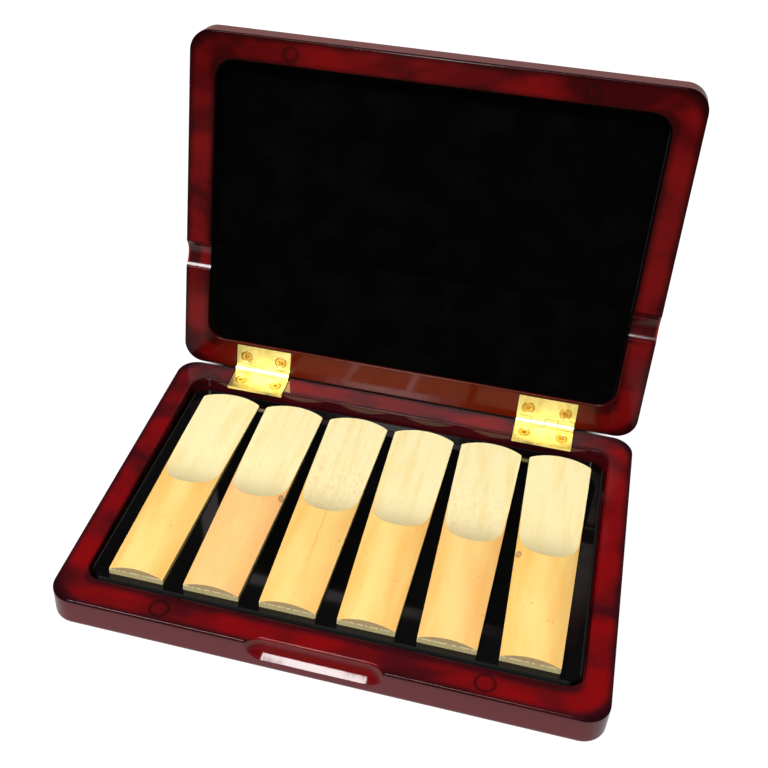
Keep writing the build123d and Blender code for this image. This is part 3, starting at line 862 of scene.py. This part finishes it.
@dataclass(frozen=True)
class StudioPaper(Finish):
    """White backdrop paper that glows by itself, so that it stays white to the edges.

    The light that it sends back to the case is weaker, and dims towards the dark front of the room
    and towards the paper's far side. Sizes are in millimetres.
    """

    name: str = "studio_paper"
    seen: float = 1.0
    near_light: float = 0.55
    dark_light: float = 0.03
    far_light: float = 0.4
    dark_edge: Span = (-60.0, -50.0)
    far_edge: Span = (90.0, 220.0)
    shadow_half: Span = (60.0, 60.5)
    shadow_middle: Span = (-2.0, 15.5)
    shadow_blur: Span = (8.0, 15.0)

    def dress(self, tree: Tree, shader: Node) -> None:
        """A matte white that glows for the camera, and more dimly for everything else.

        Args:
            tree: the node tree to add to.
            shader: the material's Principled shader.
        """
        x, y, _ = add(tree, "SeparateXYZ", [self.ruler(tree)], out=None).outputs
        near = [y, *self.dark_edge, self.dark_light, self.near_light]
        light = add(tree, "MapRange", near, **SMOOTH)
        far = add(tree, "MapRange", [y, *self.far_edge, 1.0, self.far_light], **SMOOTH)
        light = add(tree, "Math", [light, far], operation="MULTIPLY")
        camera = add(tree, "LightPath", out="Is Camera Ray")
        strength = add(tree, "Mix", {0: camera, 2: light, 3: self.seen}, 0, data_type="FLOAT")
        strength = add(tree, "Math", [strength, self.shade_under(tree, x, y)], operation="MULTIPLY")
        surface = {
            "Base Color": "#606060",
            "Roughness": 1.0,
            "Specular IOR Level": 0.0,
            "Emission Color": "#ffffff",
            "Emission Strength": strength,
        }
        wire(tree, shader, surface)

    def shade_under(self, tree: Tree, x: Socket, y: Socket) -> Socket:
        """The case's soft shade, painted on the paper where the tray and the open lid stand over it.

        Args:
            tree: the node tree to add to.
            x: the place across the case, in millimetres.
            y: the place from front to back, in millimetres.

        Returns:
            The share of the paper's light that is left.
        """
        spot = add(tree, "CombineXYZ", [x, y])
        spot = add(tree, "VectorMath", [spot, (*self.shadow_middle, 0)], operation="SUBTRACT")
        spot = add(tree, "VectorMath", [spot], operation="ABSOLUTE")
        core = [half - blur for half, blur in zip(self.shadow_half, self.shadow_blur)]
        spot = add(tree, "VectorMath", [spot, (*core, 0)], operation="SUBTRACT")
        spot = add(tree, "VectorMath", [spot, (0, 0, 0)], operation="MAXIMUM")
        spot = add(tree, "VectorMath", [spot, (*self.shadow_blur, 1)], operation="DIVIDE")
        outside = add(tree, "VectorMath", [spot], "Value", operation="LENGTH")
        return add(tree, "MapRange", [outside], **SMOOTH)


@dataclass
class Camera:
    """The camera of the photograph."""

    place: Triple = (0.03724, -0.20230, 0.20958)
    turn: Triple = (0.90196, -0.01503, 0.27041)
    focal_px: float = 1173.4
    centre_px: float = 300.0
    frame_px: float = 768.0
    sensor_mm: float = 36.0
    clip: Span = (0.01, 20.0)

    def build(self) -> None:
        """Makes the camera and the scene's view of it."""
        data = bpy.data.cameras.new("camera")
        data.sensor_width = self.sensor_mm
        data.lens = self.focal_px / self.frame_px * self.sensor_mm
        data.shift_x = (self.frame_px / 2 - self.centre_px) / self.frame_px
        data.clip_start, data.clip_end = self.clip
        camera = bpy.data.objects.new("camera", data)
        camera.location = self.place
        camera.rotation_euler = Euler(self.turn)
        bpy.context.collection.objects.link(camera)
        bpy.context.scene.camera = camera


@dataclass(frozen=True)
class Softbox:
    """A rectangular softbox: its place and size in metres, and its power in watts."""

    name: str
    place: Triple
    size: Span
    power: float

    def build(self, target: Triple) -> None:
        """Makes the light, which the camera doesn't see, and turns it to its target.

        Args:
            target: the point that it looks at, in metres.
        """
        data = bpy.data.lights.new(self.name, "AREA")
        data.shape = "RECTANGLE"
        data.size, data.size_y = self.size
        data.energy = self.power
        light = bpy.data.objects.new(self.name, data)
        light.location = self.place
        light.rotation_euler = (Vector(target) - Vector(self.place)).to_track_quat("-Z", "Y").to_euler()
        light.visible_camera = False
        bpy.context.collection.objects.link(light)


@dataclass
class Studio:
    """Floor, soft light and surroundings, in metres."""

    floor_radius: float = 1.6
    wall_height: float = 0.7
    sweep: float = 0.45
    sweep_steps: int = 8
    floor_sides: int = 96
    room_light: float = 0.04
    target: Triple = (0.0, 0.02, 0.03)
    front: Softbox = Softbox("front", (-0.098, -0.655, 0.35), (0.088, 0.44), 2.9)
    overhead: Softbox = Softbox("overhead", (-0.14, -0.35, 0.80), (0.50, 0.21), 8.0)

    def build(self) -> None:
        """Makes the floor bowl, the lights and the dim room."""
        self.floor()
        self.front.build(self.target)
        self.overhead.build(self.target)
        world = bpy.data.worlds.new("room")
        world.use_nodes = True
        background = world.node_tree.nodes["Background"]
        background.inputs["Color"].default_value = (1, 1, 1, 1)
        background.inputs["Strength"].default_value = self.room_light
        bpy.context.scene.world = world
        bpy.context.scene.view_settings.view_transform = "Standard"

    def floor(self) -> None:
        """A round floor that sweeps up into a low wall all round."""
        bpy.ops.object.select_all(action="DESELECT")
        flat = self.floor_radius - self.sweep
        bpy.ops.mesh.primitive_circle_add(vertices=self.floor_sides, radius=flat, fill_type="NGON")
        floor = bpy.context.object
        floor.name = "floor"
        bpy.ops.object.mode_set(mode="EDIT")
        bpy.ops.mesh.select_all(action="SELECT")
        bpy.ops.mesh.region_to_loop()
        for step in range(self.sweep_steps):
            was, now = (math.radians(90 * i / self.sweep_steps) for i in (step, step + 1))
            before, after = (flat + self.sweep * math.sin(angle) for angle in (was, now))
            rise = self.sweep * (math.cos(was) - math.cos(now))
            bpy.ops.mesh.extrude_edges_move(TRANSFORM_OT_translate={"value": (0, 0, rise)})
            bpy.ops.transform.resize(value=(after / before, after / before, 1), center_override=(0, 0, 0))
        wall = (0, 0, self.wall_height - self.sweep)
        bpy.ops.mesh.extrude_edges_move(TRANSFORM_OT_translate={"value": wall})
        bpy.ops.object.mode_set(mode="OBJECT")
        bpy.ops.object.shade_smooth()
        floor.data.materials.append(StudioPaper().material())


class Bench:
    """The workbench: Blender's own modelling tools, each used on one piece at a time."""

    @staticmethod
    def clear() -> None:
        """Lets go of everything that is selected."""
        bpy.ops.object.select_all(action="DESELECT")

    @staticmethod
    def take(piece: Piece) -> Piece:
        """Selects one piece alone.

        Args:
            piece: the piece.

        Returns:
            The same piece.
        """
        Bench.clear()
        piece.select_set(True)
        bpy.context.view_layer.objects.active = piece
        return piece

    @staticmethod
    def block(name: str, low: Triple, high: Triple) -> Piece:
        """A block between two corners.

        Args:
            name: the piece's name.
            low: its lowest corner in millimetres.
            high: its highest corner in millimetres.

        Returns:
            The block, with its place in its mesh.
        """
        Bench.clear()
        middle = tuple((a + b) / 2 * MM for a, b in zip(low, high))
        size = tuple((b - a) * MM for a, b in zip(low, high))
        bpy.ops.mesh.primitive_cube_add(size=1, location=middle, scale=size)
        piece = bpy.context.object
        piece.name = piece.data.name = name
        bpy.ops.object.transform_apply(location=True, rotation=True, scale=True)
        return piece

    @staticmethod
    def pick(piece: Piece, kind: str, rule: Callable[[Any], bool]) -> None:
        """Selects the edges, faces or vertices that a rule names, in edit mode.

        Args:
            piece: the piece in edit mode.
            kind: "VERT", "EDGE" or "FACE".
            rule: says yes or no to each element.
        """
        bpy.ops.mesh.select_mode(type=kind)
        bpy.ops.mesh.select_all(action="DESELECT")
        mesh = bmesh.from_edit_mesh(piece.data)
        for element in {"VERT": mesh.verts, "EDGE": mesh.edges, "FACE": mesh.faces}[kind]:
            if rule(element):
                element.select_set(True)
        mesh.select_flush_mode()
        bmesh.update_edit_mesh(piece.data)

    @staticmethod
    def lies_at(edge: Any, axis: int, place: float) -> bool:
        """True for an edge with both ends at one place, in millimetres, along an axis."""
        return all(abs(vertex.co[axis] - place * MM) < NEAR for vertex in edge.verts)

    @staticmethod
    def upright(edge: Any) -> bool:
        """True for an edge that stands up along z."""
        a, b = (vertex.co for vertex in edge.verts)
        return abs(a.z - b.z) > 100 * NEAR and (a.xy - b.xy).length < NEAR

    @staticmethod
    def round_off(radius: float, segments: int) -> None:
        """Bevels the selected edges by a radius in millimetres."""
        bpy.ops.mesh.bevel(offset=radius * MM, segments=segments, affect="EDGES", clamp_overlap=True)

    @staticmethod
    def slice_up(axis: int, low: float, high: float, pitch: float) -> None:
        """Cuts rows into the piece in edit mode, across one axis, at a pitch in millimetres.

        Args:
            axis: 0, 1 or 2 for x, y or z.
            low: where the piece begins on it, in millimetres.
            high: where the piece ends on it.
            pitch: how far apart the cuts are.
        """
        count = max(1, round((high - low) / pitch))
        for i in range(1, count):
            point, normal = [0.0, 0.0, 0.0], [0.0, 0.0, 0.0]
            point[axis], normal[axis] = (low + (high - low) * i / count) * MM, 1.0
            bpy.ops.mesh.select_all(action="SELECT")
            bpy.ops.mesh.bisect(plane_co=point, plane_no=normal)

    @staticmethod
    def edit(mode: bool) -> None:
        """Goes into edit mode, or back out of it."""
        bpy.ops.object.mode_set(mode="EDIT" if mode else "OBJECT")

    @staticmethod
    def apply(piece: Piece, kind: str, **settings: Any) -> None:
        """Adds one modifier to a piece and applies it.

        Args:
            piece: the piece.
            kind: the modifier's type, such as "BEVEL".
            **settings: the modifier's properties.
        """
        Bench.take(piece)
        modifier = piece.modifiers.new(kind.lower(), kind)
        for key, value in settings.items():
            setattr(modifier, key, value)
        bpy.ops.object.modifier_apply(modifier=modifier.name)

    @staticmethod
    def set_down(piece: Piece, frame: Matrix, angle: float = 35.0) -> Piece:
        """Moves a finished piece to its place, which goes into its mesh, and smooths its shading.

        Args:
            piece: the piece.
            frame: the frame that it goes to, in metres.
            angle: edges flatter than this, in degrees, are smoothed.

        Returns:
            The same piece.
        """
        Bench.take(piece)
        piece.matrix_world = frame
        bpy.ops.object.transform_apply(location=True, rotation=True, scale=True)
        bpy.ops.object.shade_smooth_by_angle(angle=math.radians(angle))
        return piece


def half_frame(opened: float) -> Matrix:
    """The frame of one half: on the hinge axis, y along the half, z towards the other half.

    Args:
        opened: TRAY_ANGLE for the tray, or LID_ANGLE for the lid.

    Returns:
        The frame as a matrix in metres.
    """
    axis = Matrix.Translation((0, *(place * MM for place in HINGE_AXIS)))
    if opened == TRAY_ANGLE:
        return axis @ Matrix.Rotation(math.pi, 4, "Z")
    return axis @ Matrix.Rotation(math.radians(TRAY_ANGLE - opened), 4, "X")


@dataclass
class LidLining:
    """Black velvet in the lid: a raised pad by the hinges, a deeper one, and a band round the wall."""

    velvet: Material
    linted_velvet: Material
    half_width: float = 55.05
    start: float = 8.8
    step: float = 34.75
    end: float = 84.9
    floor: float = -6.60
    raised_face: float = -0.55
    recessed_face: float = -3.40
    corner: float = 4.5
    edge: float = 0.7
    pitch: float = 2.6
    crown: float = 0.12
    band_outer: float = 55.55
    band_gap: float = 0.5
    band_top: float = -0.45
    band_thickness: float = 0.38
    band_corner_extra: float = 0.45
    band_edge: float = 0.12
    pad_gap: float = 0.1
    uneven: float = 0.05
    uneven_scale: float = 0.12

    def build(self) -> None:
        """Makes the three pieces and puts them in place of their plain solids."""
        back, foot = self.step + self.pad_gap, self.end
        raised = self.pad("velvet_pad_raised", self.start, self.step, self.raised_face, self.start)
        recessed = self.pad("velvet_pad_recessed", back, foot, self.recessed_face, foot)
        band = self.band("velvet_wall_band")
        stand_for = {"lid_pad_raised": raised, "lid_pad_recessed": recessed, "lid_wall_band": band}
        for node, piece in stand_for.items():
            Bench.set_down(piece, half_frame(LID_ANGLE))
            piece.data.materials.append(self.linted_velvet if piece is raised else self.velvet)
            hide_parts(node)
            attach(piece, Body.LID.value)
            log.info("%s: %d faces", piece.name, len(piece.data.polygons))

    def pad(self, name: str, start: float, end: float, face: float, rounded: float) -> Piece:
        """A velvet-covered foam pad with soft edges and a slight crown.

        Args:
            name: the piece's name.
            start: where it begins along the lid, in millimetres.
            end: where it ends.
            face: the height of its face.
            rounded: the end whose two corners follow the pocket's.

        Returns:
            The pad in the lid's own frame.
        """
        low, high = (-self.half_width, start, self.floor), (self.half_width, end, face)
        pad = Bench.block(name, low, high)
        Bench.edit(True)
        Bench.pick(pad, "EDGE", lambda e: Bench.lies_at(e, 1, rounded) and Bench.upright(e))
        Bench.round_off(self.corner, 6)
        Bench.pick(pad, "EDGE", lambda e: Bench.lies_at(e, 2, face))
        Bench.round_off(self.edge, 4)
        Bench.slice_up(0, low[0], high[0], self.pitch)
        Bench.slice_up(1, start, end, self.pitch)
        Bench.edit(False)
        half_length = (end - start) / 2
        for vertex in pad.data.vertices:
            if vertex.co.z > (face - self.edge) * MM:
                u = abs(vertex.co.x / MM) / self.half_width
                v = abs(vertex.co.y / MM - (start + end) / 2) / half_length
                swell = self.crown * (1 - u**6) * (1 - v**4)
                swell += self.uneven * noise.noise(vertex.co / MM * self.uneven_scale) * (1 - u**2)
                vertex.co.z += swell * MM
        return pad

    def band(self, name: str) -> Piece:
        """The thin velvet band that lines the pocket's wall.

        Args:
            name: the piece's name.

        Returns:
            The band in the lid's own frame.
        """
        low = (-self.band_outer, self.start - self.band_gap, self.floor)
        high = (self.band_outer, self.end + self.band_gap, self.band_top)
        band = Bench.block(name, low, high)
        Bench.edit(True)
        Bench.pick(band, "EDGE", Bench.upright)
        Bench.round_off(self.corner + self.band_corner_extra, 8)
        Bench.pick(band, "FACE", lambda f: abs(f.normal.z) > 0.9)
        bpy.ops.mesh.delete(type="FACE")
        Bench.edit(False)
        Bench.apply(band, "SOLIDIFY", thickness=self.band_thickness * MM, offset=-1.0)
        sharp = {"limit_method": "ANGLE", "angle_limit": math.radians(50)}
        Bench.apply(band, "BEVEL", width=self.band_edge * MM, segments=2, **sharp)
        return band


@dataclass
class PlateBed:
    """The dark felt that the glass plate lies on, on the tray's sloping floor."""

    felt: Material
    half_width: float = 56.3
    start: float = 0.3
    end: float = 77.03
    thickness: float = 0.6
    corner: float = 4.2
    edge: float = 0.25
    pocket_front: Span = (-38.2, 5.1)

    def build(self) -> None:
        """Makes the felt sheet in place of its plain solid."""
        low, high = (-self.half_width, self.start, 0.0), (self.half_width, self.end, self.thickness)
        felt = Bench.block("felt_underlay", low, high)
        Bench.edit(True)
        Bench.pick(felt, "EDGE", Bench.upright)
        Bench.round_off(self.corner, 6)
        Bench.pick(felt, "EDGE", lambda e: Bench.lies_at(e, 2, self.thickness))
        Bench.round_off(self.edge, 3)
        Bench.edit(False)
        front = Matrix.Translation((0, *(place * MM for place in self.pocket_front)))
        Bench.set_down(felt, front @ Matrix.Rotation(-FLOOR_SLOPE, 4, "X"))
        felt.data.materials.append(self.felt)
        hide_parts("plate_underlay")
        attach(felt, Body.BASE.value)
        log.info("%s: %d faces", felt.name, len(felt.data.polygons))


@dataclass
class HingeScrews:
    """The eight countersunk screws, with a bevelled head and a tapered cross, each turned its own way."""

    brass: Material
    spacing: float = 9.8
    hinge_x: float = 39.2
    from_axis: Span = (4.7, 4.0)
    face: float = -0.07
    head: float = 1.47
    shank: float = 0.8
    length: float = 5.0
    cross: float = 1.9
    cross_width: float = 0.42
    cross_depth: float = 0.4
    turns: Span = (35.0, 70.0)
    rim: float = 0.12
    rim_edge: float = 0.1
    point: float = 1.2
    point_share: float = 0.15
    dish: Span = (0.28, 0.03)
    cross_top: float = 0.3
    cross_taper: Span = (0.55, 0.6)

    def build(self) -> None:
        """Turns one screw and drives its copies into both leaves of both hinges."""
        blank = self.blank()
        for side, sign in (("left", -1), ("right", 1)):
            for half, body, opened, from_axis in (
                ("base", Body.BASE, TRAY_ANGLE, self.from_axis[0]),
                ("lid", Body.LID, LID_ANGLE, self.from_axis[1]),
            ):
                outwards = sign if body is Body.LID else -sign
                piece = self.pair(blank, half_frame(opened), from_axis, outwards, sign)
                piece.name = piece.data.name = f"screws_{side}_{half}"
                piece.data.materials.clear()
                piece.data.materials.append(self.brass)
                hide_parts(f"hinge_{side}_{half}_screws")
                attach(piece, body.value)
                log.info("%s: %d faces", piece.name, len(piece.data.polygons))
        bpy.data.objects.remove(blank)

    def pair(self, blank: Piece, frame: Matrix, from_axis: float, outwards: int, hand: int) -> Piece:
        """Seats the two screws of one leaf and joins them into one piece.

        Args:
            blank: the screw to copy.
            frame: the frame that it goes to, in metres.
            from_axis: how far the screws sit from the hinge axis, in millimetres.
            outwards: 1 or -1, the way to the nearer end of the case in the half's own frame.
            hand: 1 or -1, for the way that the slots are turned.

        Returns:
            The joined piece.
        """
        screws = []
        for number, turn in enumerate(self.turns):
            x = outwards * (self.hinge_x + (number - 0.5) * self.spacing)
            screw = blank.copy()
            screw.data = blank.data.copy()
            bpy.context.collection.objects.link(screw)
            seat = Matrix.Translation((x * MM, from_axis * MM, self.face * MM))
            seat = seat @ Matrix.Rotation(math.radians(turn * hand), 4, "Z")
            screws.append(Bench.set_down(screw, frame @ seat))
        piece = Bench.take(screws[0])
        screws[1].select_set(True)
        bpy.ops.object.join()
        return piece

    def blank(self) -> Piece:
        """One screw, its head's face at the origin and its point down.

        Returns:
            The screw.
        """
        Bench.clear()
        radius, depth, middle = (size * MM for size in (self.head, self.rim, -self.rim / 2))
        bpy.ops.mesh.primitive_cylinder_add(vertices=32, radius=radius, depth=depth, location=(0, 0, middle))
        screw = bpy.context.object
        bpy.ops.object.transform_apply(location=True, rotation=True, scale=True)
        Bench.edit(True)
        Bench.pick(screw, "FACE", lambda f: f.normal.z < -0.9)
        cone = self.head - self.shank
        for drop, shrink in (
            (cone, self.shank / self.head),
            (self.length - self.point - cone, 1.0),
            (self.point, self.point_share),
        ):
            bpy.ops.mesh.extrude_region_move(TRANSFORM_OT_translate={"value": (0, 0, -drop * MM)})
            bpy.ops.transform.resize(value=(shrink, shrink, 1), center_override=(0, 0, 0))
        Bench.pick(screw, "EDGE", lambda e: Bench.lies_at(e, 2, 0))
        Bench.round_off(self.rim_edge, 3)
        Bench.pick(screw, "FACE", lambda f: f.normal.z > 0.99)
        bpy.ops.mesh.inset(thickness=self.dish[0] * MM, depth=-self.dish[1] * MM)
        Bench.edit(False)
        self.cut_cross(screw)
        return screw

    def cut_cross(self, screw: Piece) -> None:
        """Cuts the tapered cross slot into a screw's head.

        Args:
            screw: the screw, its head up.
        """
        for turn in (0, 90):
            half, width = self.cross / 2, self.cross_width / 2
            low, high = (-half, -width, -self.cross_depth), (half, width, self.cross_top)
            cutter = Bench.block("cross", low, high)
            Bench.edit(True)
            Bench.pick(cutter, "FACE", lambda f: f.normal.z < -0.9)
            foot = (0, 0, -self.cross_depth * MM)
            bpy.ops.transform.resize(value=(*self.cross_taper, 1), center_override=foot)
            Bench.edit(False)
            Bench.set_down(cutter, Matrix.Rotation(math.radians(turn), 4, "Z"))
            Bench.apply(screw, "BOOLEAN", operation="DIFFERENCE", object=cutter, solver="EXACT")
            bpy.data.objects.remove(cutter)


@dataclass
class ReedSet:
    """Six cane reeds side by side on the glass, each with its own grain."""

    pitch: float = 17.96
    heel: Span = (-35.204, 7.609)
    coarse: tuple[float, ...] = (0.0, 0.1, 0.9, 0.15, 0.6, 0.05)
    peach: tuple[float, ...] = (0.0, 0.7, 0.15, 0.1, 0.35, 0.05)
    cracks: dict[int, float] = field(default_factory=lambda: {3: 0.9})
    knots: dict[int, Span] = field(default_factory=lambda: {2: (6.6, 34.5), 6: (-6.4, 32.0)})

    def build(self, nodes: dict[str, Piece]) -> None:
        """Gives each reed its own cane.

        Args:
            nodes: the CAD nodes by name.
        """
        middle = (len(self.coarse) + 1) / 2
        for number, (coarse, peach) in enumerate(zip(self.coarse, self.peach), 1):
            centre = ((number - middle) * self.pitch * MM, self.heel[0] * MM, self.heel[1] * MM)
            cane = Cane(
                name=f"cane_{number}",
                centre=centre,
                slope=FLOOR_SLOPE,
                seed=number,
                coarse=coarse,
                peach=peach,
                crack=self.cracks.get(number),
                knot=self.knots.get(number),
            )
            dress(nodes[f"reed_{number}"], cane.material())


def dress(node: Piece, material: Material) -> None:
    """Gives a CAD node its finish."""
    node.data.materials.clear()
    node.data.materials.append(material)


def main() -> None:
    """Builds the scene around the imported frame."""
    logging.basicConfig(level=logging.INFO)
    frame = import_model()
    Bench.clear()
    Camera().build()
    Studio().build()
    nodes = frame["nodes"]
    lid_middle = half_frame(LID_ANGLE) @ Vector((0, HINGE_AXIS[0] * MM, 0))
    finishes = {
        "tray_wood": LacqueredWood(name="tray_lacquer", centre=(0, 0, RIM_HEIGHT * MM)).material(),
        "lid_wood": LacqueredWood(
            name="lid_lacquer",
            centre=tuple(lid_middle),
            turn=(math.radians(TRAY_ANGLE - LID_ANGLE), 0, 0),
            plug=(36.4, 42.4),
            plug_radius=1.65,
            shadow="#1c0203",
            deep="#380304",
            bright="#620708",
            side="#741c10",
            hollow="#520708",
            # The colour of a painted brown reflection of the reeds on the lid's rim between the hinges.
            hinge_reflection="#5a1602",
            coat_roughness=0.13,
            coat_ior=1.46,
            drift=0.0,
        ).material(),
        "black_glass": BlackGlass().material(),
        "brass": Brass().material(),
        "magnet_plating": Nickel().material(),
        "black_velvet": Velvet().material(),
        "linted_velvet": Velvet(name="linted_velvet", lint_size=0.16).material(),
        "black_felt": Velvet(name="black_felt", pile="#040404", rubbed="#0a0a0a").material(),
        "screw_brass": Brass(name="screw_brass", tone="#e2bd66", shade="#c39a44", roughness=0.34).material(),
    }
    slots = {part["node"]: part["material_slot"] for part in frame["record"]["subparts"]}
    for name, node in nodes.items():
        if slots[name] == "lacquered_wood":
            dress(node, finishes["lid_wood" if name.startswith("lid") else "tray_wood"])
        elif not name.startswith("reed_"):
            dress(node, finishes[slots[name]])
    ReedSet().build(nodes)
    LidLining(finishes["black_velvet"], finishes["linted_velvet"]).build()
    PlateBed(finishes["black_felt"]).build()
    HingeScrews(finishes["screw_brass"]).build()


if __name__ == "__main__":
    main()
